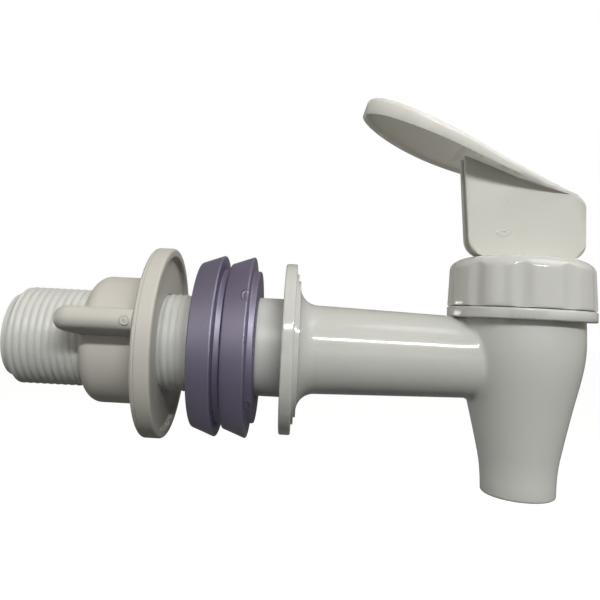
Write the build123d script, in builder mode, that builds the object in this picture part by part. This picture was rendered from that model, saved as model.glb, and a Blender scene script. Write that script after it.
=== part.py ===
from build123d import *
from math import cos, radians, sin, tan
import os

# Beverage dispenser spigot, in millimetres.
# The origin is the centre of the flange's back face, on the axis of the shank.
# +X runs along the tube towards the spout and +Z is up, so the spout points down.

os.makedirs("parts", exist_ok=True)

# Shank, which passes through the wall of the dispenser
shank_length = 51.3
pilot_radius = 7.8
pilot_length = 1.3
thread_radius = 9.2
collar_radius = 9.33
collar_length = 4.9
relief_radius = 8.3
relief_length = 1.2
bore_radius = 5.75

# Flange and its flare into the tube
flange_radius = 16.15
flange_thickness = 2.15
flange_edge_radius = 0.35
step_height = 0.4
outer_step_radius = 14.2
inner_step_radius = 12.9
flare_radius = 3.4
tube_root_radius = 8.42
tube_end_radius = 7.35

# Spout barrel, a turned form about an upright axis
spout_x = 45.2
barrel_top_radius = 11.65
barrel_bend_radius = 11.6
barrel_bend_z = 1.5
taper_radius = 9.72
taper_z = -7.4
throat_radius = 7.58
throat_z = -16.6
outlet_radius = 6.7
outlet_drop = 24.8
outlet_lip_radius = 0.5
outlet_bore_radius = 5.2
blend_radius = 1.3

# Ring, threaded neck and valve chamber at the top of the barrel
ring_radius = 13.6
ring_thickness = 2.0
ring_top_z = 9.6
ring_edge_radius = 0.35
neck_radius = 11.0
neck_height = 5.8
chamber_radius = 9.2
chamber_floor_z = -2.0
seat_bottom_z = -9.0

# Cap that screws over the neck
cap_gap = 0.12
cap_radius = 13.52
cap_height = 9.6
cap_draft = 2.3
cap_thread_clearance = 0.1
shoulder_width = 5.0
shoulder_height = 2.6
flute_count = 10
flute_depth = 0.38
flute_cutter_radius = 4.0
flute_turn = 16.0
hub_radius = 3.4
hub_length = 3.0

# Rubber seat cup, held by its rim and closed by the plug at its foot
rim_thickness = 1.5
rim_inset = 0.2
cup_mouth_radius = 8.8
cup_radius = 6.2
cup_shoulder_z = 8.5
cup_wall = 0.8
plug_top_z = -4.6
plug_clearance = 0.1
plug_nose_radius = 3.4
plug_nose_length = 2.2

# Stem, with a button foot, a spring flange and two trunnions
stem_radius = 2.2
guide_clearance = 0.1
spring_flange_radius = 4.8
spring_flange_thickness = 1.2
foot_neck_radius = 1.6
foot_neck_length = 1.2
foot_radius = 3.0
foot_thickness = 1.9
foot_clearance = 0.05
trunnion_radius = 1.5
trunnion_reach = 0.65
trunnion_clearance = 0.06
pin_rise = 6.0
blade_drop = 8.6

# Spring around the stem
wire_radius = 0.35
coil_count = 8
coil_clearance = 0.25
spring_seat_gap = 0.05

# Lever: a moulded web on the cap and a tray shaped paddle
lever_gap = 0.05
web_thickness = 4.2
slot_width = 1.9
web_reach_back = 10.4
web_back_lean = 1.25
web_reach_front = 11.7
web_top_sink = 0.4
cam_corner_radius = 3.5
front_corner_radius = 3.5
top_corner_radius = 3.0
web_end_wall = 1.7
blade_clearance = 0.1
socket_end_clearance = 0.1
paddle_root_back = 9.1
paddle_root_rise = 13.45
paddle_slope = 23.6
paddle_length = 43.1
paddle_sag = 1.2
paddle_rim_root = 0.8
paddle_rim_middle = 2.3
paddle_rim_tip = 3.75
paddle_skin = 1.4
paddle_wall = 1.1
paddle_edge_radius = 1.0
paddle_root_flare = 0.35
paddle_neck_half = 4.45
paddle_neck_u = 7.0
paddle_waist_half = 7.3
paddle_waist_u = 17.0
paddle_half = 9.2
paddle_wide_u = 27.8

# Two rubber gaskets on the shank
gasket_gap = 4.75
gasket_spacing = 0.1
gasket_clearance = 0.2
gasket_back_radius = 15.6
gasket_rim_radius = 17.2
gasket_cone_length = 4.35
gasket_boss_radius = 14.4
gasket_boss_length = 1.25
gasket_edge_radius = 0.25

# Wing nut on the thread
nut_gap = 5.5
nut_clearance = 0.08
nut_disc_thickness = 3.45
nut_rim_width = 1.6
nut_recess_depth = 0.95
nut_hub_radius = 12.0
nut_hub_length = 11.3
nut_shoulder_radius = 2.8
wing_thickness = 4.0
wing_width = 4.5
wing_overhang = 2.8
wing_corner_radius = 3.0
wing_edge_radius = 1.85
wing_root_inset = 1.5
wing_inner_radius = 2.2
wing_turn = 14.7
nut_edge_radius = 0.5

# Heights and stations that follow from the sizes above
spout_plane = Plane((spout_x, 0, 0), x_dir=(1, 0, 0), z_dir=(0, -1, 0))
outlet_z = -outlet_drop
neck_top_z = ring_top_z + neck_height
ceiling_z = neck_top_z + rim_thickness
cap_bottom_z = ring_top_z + cap_gap
cap_top_z = cap_bottom_z + cap_height
lever_bottom_z = cap_top_z + lever_gap
pin_z = lever_bottom_z + pin_rise
seat_slope = (chamber_radius - outlet_bore_radius) / (chamber_floor_z - seat_bottom_z)


# Radius of the conical valve seat at a height
def seat_radius(z):
    return outlet_bore_radius + (z - seat_bottom_z) * seat_slope


# Corner of a sketch nearest a point of its plane
def corner_at(sketch, x, y):
    return sketch.vertices().sort_by_distance((x, y))[0]


# Body: shank, flange, tube, barrel and threaded neck in one moulding
flare_start_x = flange_thickness + 2 * step_height
flare_end_x = flare_start_x + flare_radius
flare_outer_radius = tube_root_radius + flare_radius
thread_start_x = -shank_length + pilot_length
lead_in = thread_radius - pilot_radius

with BuildPart() as body:
    with BuildSketch(Plane.XZ) as shank_profile:
        with BuildLine():
            Polyline(
                (spout_x, 0),
                (-shank_length, 0),
                (-shank_length, pilot_radius),
                (thread_start_x, pilot_radius),
                (thread_start_x + lead_in, thread_radius),
                (-collar_length - relief_length, thread_radius),
                (-collar_length - relief_length, relief_radius),
                (-collar_length, relief_radius),
                (-collar_length, collar_radius),
                (0, collar_radius),
                (0, flange_radius),
                (flange_thickness, flange_radius),
                (flange_thickness, outer_step_radius),
                (flange_thickness + step_height, outer_step_radius),
                (flange_thickness + step_height, inner_step_radius),
                (flare_start_x, inner_step_radius),
                (flare_start_x, flare_outer_radius),
            )
            RadiusArc(
                (flare_start_x, flare_outer_radius),
                (flare_end_x, tube_root_radius),
                -flare_radius,
            )
            Polyline(
                (flare_end_x, tube_root_radius),
                (spout_x, tube_end_radius),
                (spout_x, 0),
            )
        make_face()
        rim_corners = shank_profile.vertices().group_by(Axis.Y)[-1]
        fillet(rim_corners, radius=flange_edge_radius)
    revolve(axis=Axis.X)
    with BuildSketch(spout_plane):
        with BuildLine():
            Spline(
                (barrel_top_radius, ring_top_z),
                (barrel_bend_radius, barrel_bend_z),
                (taper_radius, taper_z),
                (throat_radius, throat_z),
                (outlet_radius, outlet_z),
                tangents=((0, -1), (-0.02, -1)),
            )
            Polyline(
                (outlet_radius, outlet_z),
                (0, outlet_z),
                (0, ring_top_z),
                (barrel_top_radius, ring_top_z),
            )
        make_face()
    revolve(axis=Axis((spout_x, 0, 0), (0, 0, 1)))
    fillet(body.edges(Select.NEW), radius=blend_radius)
    with BuildSketch(spout_plane) as ring_section:
        with Locations((ring_radius / 2, ring_top_z - ring_thickness / 2)):
            Rectangle(ring_radius, ring_thickness)
        fillet(ring_section.vertices().group_by(Axis.X)[-1], radius=ring_edge_radius)
    revolve(axis=Axis((spout_x, 0, 0), (0, 0, 1)))
    with BuildSketch(Plane.XY.offset(ring_top_z)):
        with Locations((spout_x, 0)):
            Circle(neck_radius)
    extrude(amount=neck_height)
    # Bore of the shank and tube
    with BuildSketch(Plane.YZ.offset(-shank_length)):
        Circle(bore_radius)
    extrude(amount=shank_length + spout_x, mode=Mode.SUBTRACT)
    # Valve chamber, conical seat and outlet bore
    with BuildSketch(spout_plane):
        with BuildLine():
            Polyline(
                (0, neck_top_z),
                (chamber_radius, neck_top_z),
                (chamber_radius, chamber_floor_z),
                (outlet_bore_radius, seat_bottom_z),
                (outlet_bore_radius, outlet_z),
                (0, outlet_z),
                close=True,
            )
        make_face()
    revolve(axis=Axis((spout_x, 0, 0), (0, 0, 1)), mode=Mode.SUBTRACT)
    outlet_edge = body.edges().filter_by(GeomType.CIRCLE).group_by(Axis.Z)[0].sort_by(SortBy.RADIUS)[-1]
    fillet(outlet_edge, radius=outlet_lip_radius)

body.part.label = "body"
export_step(body.part, "parts/body.step")

# Cap: fluted skirt, domed shoulder and a guide hub for the stem
skirt_inner_radius = neck_radius + cap_thread_clearance
shoulder_z = cap_top_z - shoulder_height
shoulder_radius = cap_radius - (shoulder_z - cap_bottom_z) * tan(radians(cap_draft))
guide_radius = stem_radius + guide_clearance
hub_bottom_z = ceiling_z - hub_length

with BuildPart() as cap:
    with BuildSketch(spout_plane):
        with BuildLine():
            Polyline(
                (guide_radius, cap_top_z),
                (guide_radius, hub_bottom_z),
                (hub_radius, hub_bottom_z),
                (hub_radius, ceiling_z),
                (skirt_inner_radius, ceiling_z),
                (skirt_inner_radius, cap_bottom_z),
                (cap_radius, cap_bottom_z),
                (shoulder_radius, shoulder_z),
            )
            EllipticalCenterArc(
                (shoulder_radius - shoulder_width, shoulder_z),
                shoulder_width,
                shoulder_height,
                start_angle=0,
                arc_size=90,
            )
            Line((shoulder_radius - shoulder_width, cap_top_z), (guide_radius, cap_top_z))
        make_face()
    revolve(axis=Axis((spout_x, 0, 0), (0, 0, 1)))
    # Shallow hollow flutes for the fingers, leaning with the draft of the skirt
    flute_middle_z = (cap_bottom_z + cap_top_z) / 2
    flute_middle_radius = cap_radius - (flute_middle_z - cap_bottom_z) * tan(radians(cap_draft))
    cutter_offset = flute_middle_radius + flute_cutter_radius - flute_depth
    with Locations(Plane((spout_x, 0, flute_middle_z))):
        with PolarLocations(cutter_offset, flute_count, start_angle=flute_turn):
            Cylinder(
                flute_cutter_radius,
                3 * cap_height,
                rotation=(0, -cap_draft, 0),
                mode=Mode.SUBTRACT,
            )

cap.part.label = "cap"
export_step(cap.part, "parts/cap.step")

# Seat cup: the rim is clamped under the cap, and the plug closes the outlet
cup_rim_radius = neck_radius - rim_inset
plug_face_top_z = plug_top_z - foot_neck_length
plug_bottom_z = seat_bottom_z + plug_clearance
plug_top_radius = seat_radius(plug_face_top_z) - plug_clearance
plug_bottom_radius = seat_radius(plug_bottom_z) - plug_clearance
nose_bottom_z = plug_bottom_z - plug_nose_length
socket_radius = foot_radius + foot_clearance
socket_bottom_z = plug_face_top_z - foot_thickness - 2 * foot_clearance
socket_neck_radius = foot_neck_radius + foot_clearance

with BuildPart() as seat_cup:
    with BuildSketch(spout_plane):
        with BuildLine():
            Polyline(
                (0, nose_bottom_z),
                (plug_nose_radius, nose_bottom_z),
                (plug_bottom_radius, plug_bottom_z),
                (plug_top_radius, plug_face_top_z),
                (cup_radius, plug_top_z),
                (cup_radius, cup_shoulder_z),
                (cup_mouth_radius, neck_top_z),
                (cup_rim_radius, neck_top_z),
                (cup_rim_radius, ceiling_z),
                (cup_mouth_radius - cup_wall, ceiling_z),
                (cup_radius - cup_wall, cup_shoulder_z),
                (cup_radius - cup_wall, plug_top_z),
                (socket_neck_radius, plug_top_z),
                (socket_neck_radius, plug_face_top_z),
                (socket_radius, plug_face_top_z),
                (socket_radius, socket_bottom_z),
                (0, socket_bottom_z),
                close=True,
            )
        make_face()
    revolve(axis=Axis((spout_x, 0, 0), (0, 0, 1)))

seat_cup.part.label = "seat_cup"
export_step(seat_cup.part, "parts/seat_cup.step")

# Stem: button foot, spring flange, round shank and a flat head with trunnions
foot_top_z = plug_face_top_z - foot_clearance
foot_bottom_z = foot_top_z - foot_thickness
flange_bottom_z = plug_top_z
flange_top_z = flange_bottom_z + spring_flange_thickness
blade_thickness = slot_width - 2 * blade_clearance
blade_start_z = pin_z - blade_drop
head_top_z = pin_z + stem_radius

with BuildPart() as stem:
    with BuildSketch(spout_plane):
        with BuildLine():
            Polyline(
                (0, foot_bottom_z),
                (foot_radius, foot_bottom_z),
                (foot_radius, foot_top_z),
                (foot_neck_radius, foot_top_z),
                (foot_neck_radius, flange_bottom_z),
                (spring_flange_radius, flange_bottom_z),
                (spring_flange_radius, flange_top_z),
                (stem_radius, flange_top_z),
                (stem_radius, head_top_z),
                (0, head_top_z),
                close=True,
            )
        make_face()
    revolve(axis=Axis((spout_x, 0, 0), (0, 0, 1)))
    # Flats on both sides of the head, and its round top about the pin
    flat_depth = stem_radius - blade_thickness / 2
    flat_middle_y = blade_thickness / 2 + flat_depth / 2
    blade_height = head_top_z - blade_start_z
    with BuildSketch(Plane.XY.offset(blade_start_z)):
        with Locations((spout_x, flat_middle_y), (spout_x, -flat_middle_y)):
            Rectangle(2 * stem_radius, flat_depth)
    extrude(amount=blade_height, mode=Mode.SUBTRACT)
    with BuildSketch(spout_plane):
        with Locations((0, pin_z + stem_radius / 2)):
            Rectangle(2 * stem_radius, stem_radius)
        with Locations((0, pin_z)):
            Circle(stem_radius, mode=Mode.SUBTRACT)
    extrude(amount=blade_thickness, both=True, mode=Mode.SUBTRACT)
    with BuildSketch(spout_plane):
        with Locations((0, pin_z)):
            Circle(trunnion_radius)
    extrude(amount=blade_thickness / 2 + trunnion_reach, both=True)

stem.part.label = "stem"
export_step(stem.part, "parts/stem.step")

# Spring: a round wire wound between the cap and the spring flange
coil_radius = hub_radius + coil_clearance + wire_radius
coil_start_z = flange_top_z + wire_radius + spring_seat_gap
coil_height = ceiling_z - wire_radius - spring_seat_gap - coil_start_z

with BuildPart() as spring:
    with BuildLine(Plane((spout_x, 0, coil_start_z))) as coil_line:
        Helix(pitch=coil_height / coil_count, height=coil_height, radius=coil_radius)
    with BuildSketch(Plane(coil_line.line @ 0, z_dir=coil_line.line % 0)):
        Circle(wire_radius)
    sweep(path=coil_line.line, is_frenet=True)

spring.part.label = "spring"
export_step(spring.part, "parts/spring.step")

# Lever: the web straddles the stem's head and the paddle rises over the tube
root_z = lever_bottom_z + paddle_root_rise
slope_rise = tan(radians(paddle_slope))
web_front_drop = web_top_sink + (web_reach_front - paddle_root_back) * slope_rise
web_front_top_z = root_z - web_front_drop
web_top_back = web_reach_back + web_back_lean
web_back_sink = web_top_sink + paddle_sag / cos(radians(paddle_slope))
web_back_top_z = root_z + (web_top_back + paddle_root_back) * slope_rise - web_back_sink
web_top_rise = (web_back_top_z - web_front_top_z) / (web_top_back + web_reach_front)
paddle_up = (sin(radians(paddle_slope)), 0, cos(radians(paddle_slope)))
paddle_along = (-cos(radians(paddle_slope)), 0, sin(radians(paddle_slope)))
paddle_root = (spout_x + paddle_root_back, 0, root_z)
paddle_plane = Plane(paddle_root, x_dir=paddle_along, z_dir=paddle_up)
paddle_side_plane = Plane(paddle_root, x_dir=paddle_along, z_dir=(0, 1, 0))
slot_half = slot_width / 2
slot_front_x = web_reach_front - web_end_wall
slot_back_x = -3 * web_reach_back
# The slot ends halfway up the part of the skin that the web is sunk into
skin_drop = paddle_skin / cos(radians(paddle_slope))
slot_roof = (skin_drop - web_top_sink) / 2
slot_top_front_z = web_front_top_z + (web_reach_front - slot_front_x) * web_top_rise - slot_roof
slot_top_back_z = web_front_top_z + (web_reach_front - slot_back_x) * web_top_rise - slot_roof
socket_reach = blade_thickness / 2 + trunnion_reach + socket_end_clearance
# The paddle's top is hollow along its length, an arc about a line high above it
paddle_root_half = web_thickness / 2
paddle_middle_u = paddle_length / 2
paddle_arc_radius = (paddle_middle_u**2 + paddle_sag**2) / (2 * paddle_sag)
paddle_arc_height = paddle_arc_radius - paddle_sag


# Outline of the paddle, widest near its rounded tip, drawn in by an inset
def draw_paddle_outline(inset):
    for side in (1, -1):
        Spline(
            (0, side * (paddle_root_half - inset)),
            (paddle_neck_u, side * (paddle_neck_half - inset)),
            (paddle_waist_u, side * (paddle_waist_half - inset)),
            (paddle_wide_u, side * (paddle_half - inset)),
            tangents=((1, side * paddle_root_flare), (1, 0)),
        )
    EllipticalCenterArc(
        (paddle_wide_u, 0),
        paddle_length - paddle_wide_u - inset,
        paddle_half - inset,
        start_angle=-90,
        arc_size=180,
    )
    Line((0, paddle_root_half - inset), (0, inset - paddle_root_half))


with BuildPart() as paddle:
    with BuildSketch(paddle_plane.offset(-2 * paddle_rim_tip)):
        with BuildLine():
            draw_paddle_outline(0)
        make_face()
    extrude(amount=3 * paddle_rim_tip)
    with BuildSketch(paddle_side_plane):
        with Locations((paddle_middle_u, paddle_arc_height)):
            Circle(paddle_arc_radius)
    extrude(amount=2 * paddle_half, both=True, mode=Mode.SUBTRACT)
    top_edges = paddle.faces().sort_by(Axis(paddle_root, paddle_up))[-1].edges()
    fillet(top_edges.sort_by(Axis.X)[:-1], radius=paddle_edge_radius)
    # The rim is low at the root and deepens towards the tip
    with BuildSketch(paddle_side_plane):
        with BuildLine():
            ThreePointArc(
                (0, -paddle_rim_root),
                (paddle_middle_u, -paddle_sag - paddle_rim_middle),
                (paddle_length, -paddle_rim_tip),
            )
            Polyline(
                (paddle_length, -paddle_rim_tip),
                (paddle_length, -3 * paddle_rim_tip),
                (0, -3 * paddle_rim_tip),
                (0, -paddle_rim_root),
            )
        make_face()
    extrude(amount=2 * paddle_half, both=True, mode=Mode.SUBTRACT)
    # Hollow underside within the rim, below a skin of even thickness
    with BuildSketch(paddle_plane):
        with BuildLine():
            draw_paddle_outline(paddle_wall)
        make_face()
    hollow = extrude(amount=-3 * paddle_rim_tip, mode=Mode.PRIVATE)
    with BuildSketch(paddle_side_plane):
        with Locations((paddle_middle_u, paddle_arc_height)):
            Circle(paddle_arc_radius + paddle_skin)
    roof = extrude(amount=2 * paddle_half, both=True, mode=Mode.PRIVATE)
    add(hollow - roof, mode=Mode.SUBTRACT)

with BuildPart() as lever:
    # Web under the paddle: its back corner is the cam that rolls on the cap
    with BuildSketch(spout_plane) as web_outline:
        Polygon(
            (-web_reach_back, lever_bottom_z),
            (web_reach_front, lever_bottom_z),
            (web_reach_front, web_front_top_z),
            (-web_top_back, web_back_top_z),
            align=None,
        )
        back_foot = corner_at(web_outline, -web_reach_back, lever_bottom_z)
        fillet(back_foot, radius=cam_corner_radius)
        front_foot = corner_at(web_outline, web_reach_front, lever_bottom_z)
        fillet(front_foot, radius=front_corner_radius)
        front_top = corner_at(web_outline, web_reach_front, web_front_top_z)
        fillet(front_top, radius=top_corner_radius)
    extrude(amount=web_thickness / 2, both=True)
    # The front end is round in plan
    with BuildSketch(Plane.XY.offset(lever_bottom_z)):
        with Locations((spout_x, 0)):
            Rectangle(2 * web_top_back, web_thickness)
        with Locations((spout_x + web_reach_front - web_thickness / 2, 0)):
            Circle(web_thickness / 2)
    extrude(amount=2 * web_back_top_z, mode=Mode.INTERSECT)
    # Slot between the two cheeks, open at the back and the foot
    with BuildSketch(spout_plane):
        Polygon(
            (slot_back_x, lever_bottom_z - pin_rise),
            (slot_front_x, lever_bottom_z - pin_rise),
            (slot_front_x, slot_top_front_z),
            (slot_back_x, slot_top_back_z),
            align=None,
        )
    extrude(amount=slot_half, both=True, mode=Mode.SUBTRACT)
    add(paddle.part)
    # Blind sockets for the stem's trunnions
    with BuildSketch(spout_plane):
        with Locations((0, pin_z)):
            Circle(trunnion_radius + trunnion_clearance)
    extrude(amount=socket_reach, both=True, mode=Mode.SUBTRACT)

lever.part.label = "lever"
export_step(lever.part, "parts/lever.step")

# Gaskets: two equal conical rings, each with a low boss on its front face
gasket_bore_radius = collar_radius + gasket_clearance
gasket_length = gasket_cone_length + gasket_boss_length
gasket_front_x = -gasket_gap - gasket_length
gasket_back_x = gasket_front_x - gasket_spacing - gasket_length


# Half section of a gasket whose back face stands at a station on the shank
def gasket_section(back_x):
    rim_x = back_x + gasket_cone_length
    return [
        (back_x, gasket_bore_radius),
        (back_x, gasket_back_radius),
        (rim_x, gasket_rim_radius),
        (rim_x, gasket_boss_radius),
        (back_x + gasket_length, gasket_boss_radius),
        (back_x + gasket_length, gasket_bore_radius),
    ]


with BuildPart() as gasket_front:
    with BuildSketch(Plane.XZ) as front_section:
        with BuildLine():
            Polyline(*gasket_section(gasket_front_x), close=True)
        make_face()
        fillet(front_section.vertices().sort_by(Axis.Y)[2:], radius=gasket_edge_radius)
    revolve(axis=Axis.X)

gasket_front.part.label = "gasket_front"
export_step(gasket_front.part, "parts/gasket_front.step")

with BuildPart() as gasket_back:
    with BuildSketch(Plane.XZ) as back_section:
        with BuildLine():
            Polyline(*gasket_section(gasket_back_x), close=True)
        make_face()
        fillet(back_section.vertices().sort_by(Axis.Y)[2:], radius=gasket_edge_radius)
    revolve(axis=Axis.X)

gasket_back.part.label = "gasket_back"
export_step(gasket_back.part, "parts/gasket_back.step")

# Wing nut: a recessed disc, a hub with a round shoulder and two opposite wings
nut_front_x = gasket_back_x - nut_gap
disc_back_x = nut_front_x - nut_disc_thickness
nut_hub_back_x = disc_back_x - nut_hub_length
wing_back_x = nut_hub_back_x - wing_overhang
nut_bore_radius = thread_radius + nut_clearance
nut_disc_radius = nut_hub_radius + wing_root_inset + wing_width
nut_recess_radius = nut_disc_radius - nut_rim_width
wing_plane = Plane(
    (0, 0, 0),
    x_dir=(1, 0, 0),
    z_dir=(0, -sin(radians(wing_turn)), -cos(radians(wing_turn))),
)
recess_floor_x = nut_front_x - nut_recess_depth

with BuildPart() as wing_nut:
    with BuildSketch(wing_plane) as wing_outline:
        Polygon(
            (nut_hub_back_x, 0),
            (nut_hub_back_x, nut_hub_radius - wing_root_inset),
            (wing_back_x, nut_hub_radius + wing_root_inset),
            (wing_back_x, nut_disc_radius),
            (disc_back_x, nut_disc_radius),
            (disc_back_x, 0),
            align=None,
        )
        fillet(corner_at(wing_outline, wing_back_x, nut_disc_radius), radius=wing_corner_radius)
        wing_inner = corner_at(wing_outline, wing_back_x, nut_hub_radius + wing_root_inset)
        fillet(wing_inner, radius=wing_inner_radius)
        mirror(about=Plane.XZ)
    extrude(amount=wing_thickness / 2, both=True)
    wing_faces = wing_nut.faces().sort_by(Axis((0, 0, 0), wing_plane.z_dir))
    wing_edges = wing_faces[0].edges() + wing_faces[-1].edges()
    fillet(
        [edge for edge in wing_edges if edge.center().X < disc_back_x - wing_edge_radius],
        radius=wing_edge_radius,
    )
    # Hub and recessed disc
    with BuildSketch(Plane.XZ) as nut_section:
        Polygon(
            (nut_hub_back_x, 0),
            (nut_hub_back_x, nut_hub_radius),
            (disc_back_x, nut_hub_radius),
            (disc_back_x, nut_disc_radius),
            (nut_front_x, nut_disc_radius),
            (nut_front_x, nut_recess_radius),
            (recess_floor_x, nut_recess_radius),
            (recess_floor_x, 0),
            align=None,
        )
        fillet(corner_at(nut_section, nut_hub_back_x, nut_hub_radius), radius=nut_shoulder_radius)
        for rim_x in (disc_back_x, nut_front_x):
            fillet(corner_at(nut_section, rim_x, nut_disc_radius), radius=nut_edge_radius)
        for inner_x in (nut_front_x, recess_floor_x):
            fillet(corner_at(nut_section, inner_x, nut_recess_radius), radius=nut_edge_radius / 2)
    revolve(axis=Axis.X)
    with BuildSketch(Plane.YZ.offset(wing_back_x)):
        Circle(nut_bore_radius)
    extrude(amount=nut_front_x - wing_back_x, mode=Mode.SUBTRACT)

wing_nut.part.label = "wing_nut"
export_step(wing_nut.part, "parts/wing_nut.step")
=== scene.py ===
# %% [markdown]
# # A drinks dispenser spigot, dressed in Blender
# This is the small tap at the foot of a drinks dispenser: a threaded shank with a flange, a
# tube, a spout under a fluted cap, and a thumb lever that lifts the valve. The solids come
# from CAD and are loaded as a fixed frame, in metres. Blender adds what they leave out: the
# screw thread, the soft finger hollows, small moulding marks, and the materials. The frame
# is loaded first, because each piece below is fitted to it.

from functools import partial
from math import cos, pi, radians, sin, sqrt, tan

import bmesh
import bpy
from mathutils import Matrix, Vector


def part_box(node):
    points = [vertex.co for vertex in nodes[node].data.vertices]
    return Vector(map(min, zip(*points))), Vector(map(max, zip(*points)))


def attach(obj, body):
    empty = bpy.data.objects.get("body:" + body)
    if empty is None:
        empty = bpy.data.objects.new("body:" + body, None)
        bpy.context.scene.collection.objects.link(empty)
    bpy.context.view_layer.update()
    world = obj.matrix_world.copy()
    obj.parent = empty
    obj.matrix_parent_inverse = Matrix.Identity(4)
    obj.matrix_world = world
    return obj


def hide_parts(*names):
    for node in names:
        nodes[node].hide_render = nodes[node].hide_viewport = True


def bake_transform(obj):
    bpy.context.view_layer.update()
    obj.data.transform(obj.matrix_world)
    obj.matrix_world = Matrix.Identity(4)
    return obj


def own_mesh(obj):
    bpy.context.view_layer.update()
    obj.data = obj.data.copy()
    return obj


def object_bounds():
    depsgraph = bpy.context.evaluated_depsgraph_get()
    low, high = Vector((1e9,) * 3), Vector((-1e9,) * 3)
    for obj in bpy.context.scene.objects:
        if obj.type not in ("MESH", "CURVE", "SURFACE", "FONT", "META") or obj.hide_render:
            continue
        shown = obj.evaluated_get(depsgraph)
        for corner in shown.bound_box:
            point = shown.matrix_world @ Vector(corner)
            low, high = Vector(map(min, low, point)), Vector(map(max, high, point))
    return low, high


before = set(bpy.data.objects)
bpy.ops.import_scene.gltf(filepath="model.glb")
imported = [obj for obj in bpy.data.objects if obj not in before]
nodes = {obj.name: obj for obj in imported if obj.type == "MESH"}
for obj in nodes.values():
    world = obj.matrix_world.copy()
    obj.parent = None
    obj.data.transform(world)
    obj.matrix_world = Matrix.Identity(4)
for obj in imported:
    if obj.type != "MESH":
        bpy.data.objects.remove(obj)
cad_low, cad_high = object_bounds()
MM = 0.001
print("solids:", ", ".join(sorted(nodes)))
print("size in mm:", [round(side / MM, 1) for side in cad_high - cad_low])

# %% [markdown]
# ## Camera
# The photograph was taken from close by, so near edges look larger than far ones. A lens
# can only copy that from the same place. The camera therefore stands where the circles of
# the gaskets, the nut and the spout line up, with its turn, tilt and roll set as three
# plain rotations. A small lens shift moves the frame without turning the camera.

# %% Stand the camera where the photograph was taken
IMAGE_PX = 600
FOCAL_PX = 618.7
CENTRE_PX = (287.9, 255.7)
CAMERA_PLACE = Vector((2.70, -120.37, 6.34)) * MM
YAW, PITCH, ROLL = -0.022, -0.095, 0.051
SENSOR_WIDTH = 36.0
NEAREST_SEEN = 10 * MM


def into_scene(name, data):
    made = bpy.data.objects.new(name, data)
    bpy.context.scene.collection.objects.link(made)
    return made


camera_data = bpy.data.cameras.new("photo_camera")
camera_data.sensor_width = SENSOR_WIDTH
camera_data.lens = SENSOR_WIDTH * FOCAL_PX / IMAGE_PX
camera_data.shift_x = (IMAGE_PX / 2 - CENTRE_PX[0]) / IMAGE_PX
camera_data.shift_y = (CENTRE_PX[1] - IMAGE_PX / 2) / IMAGE_PX
camera_data.clip_start = NEAREST_SEEN
camera = into_scene("photo_camera", camera_data)
bpy.context.scene.camera = camera

upright = Matrix.Rotation(radians(90), 4, "X")
swung = Matrix.Rotation(-YAW, 4, "Z") @ upright
tilted = swung @ Matrix.Rotation(-PITCH, 4, "X")
rolled = tilted @ Matrix.Rotation(ROLL, 4, "Z")
camera.matrix_world = Matrix.Translation(CAMERA_PLACE) @ rolled
print("lens in mm:", round(camera_data.lens, 1))

# %% [markdown]
# ## Node trees by hand
# Materials, the floor, the thread and the cap's hollows are all node trees. Each could be
# built socket by socket, but the same few lines would come back a hundred times. Small
# helpers take them up. An input is either a number, which is set, or a socket, which is
# linked, so that the trees below read like plain sums.


# %% Helpers for node trees
def put(tree, value, socket):
    if isinstance(value, bpy.types.NodeSocket):
        tree.links.new(value, socket)
    else:
        socket.default_value = value


def node(tree, kind, inputs=None, **settings):
    made = tree.nodes.new(kind)
    for name, value in settings.items():
        setattr(made, name, value)
    for label, value in (inputs or {}).items():
        put(tree, value, made.inputs[label])
    return made


def math_node(tree, operation, first, second=0.0, clamp=False):
    inputs = {0: first, 1: second}
    made = node(tree, "ShaderNodeMath", inputs, operation=operation, use_clamp=clamp)
    return made.outputs[0]


def mixed(tree, share, first, second, data_type="RGBA"):
    inputs = {"Factor": share, "A": first, "B": second}
    return node(tree, "ShaderNodeMix", inputs, data_type=data_type).outputs["Result"]


print("helpers for node trees: put, node, math_node, mixed")

# %% [markdown]
# ## Floor and sky
# The photograph has a white ground. A white floor and a white sky would send so much light
# back that the dark underside of the tube would go pale. So both have two sides. What the
# camera sees is white, and what the object sees is a dark floor and a faint, warm sky.
# Light Path tells the two apart. The floor keeps a small share of its plain shading, which
# shows the object's shadow, and its glow is a little over 1 to make up for that share. It
# lies far enough below that the shadow on it stays clear of the object.


# %% Tell the camera's rays from the others
def seen_directly(tree, mirrored_share):
    path = node(tree, "ShaderNodeLightPath").outputs
    mirrored = math_node(tree, "MULTIPLY", path["Is Glossy Ray"], mirrored_share)
    seen = math_node(tree, "MAXIMUM", path["Is Camera Ray"], mirrored)
    return math_node(tree, "MAXIMUM", seen, path["Is Transmission Ray"])


def grey(level):
    return level, level, level, 1


MIRRORED_FLOOR = 0.1
MIRRORED_SKY = 0.12
print("gloss shows", MIRRORED_FLOOR, "of the white floor and", MIRRORED_SKY, "of the white sky")

# %% The floor
FLOOR_DROP = 70 * MM
FLOOR_SIZE = 6.0
FLOOR_GREY = 0.06
FLOOR_WHITE = 0.9
FLOOR_ROUGHNESS = 0.9
FLOOR_GLOW = 1.09
SHADOW_SHARE = 0.12

floor_mesh = bpy.data.meshes.new("floor")
half = FLOOR_SIZE / 2
floor_z = cad_low.z - FLOOR_DROP
outline = ((-half, -half), (half, -half), (half, half), (-half, half))
floor_mesh.from_pydata([(x, y, floor_z) for x, y in outline], [], [(0, 1, 2, 3)])
floor = into_scene("floor", floor_mesh)

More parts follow.
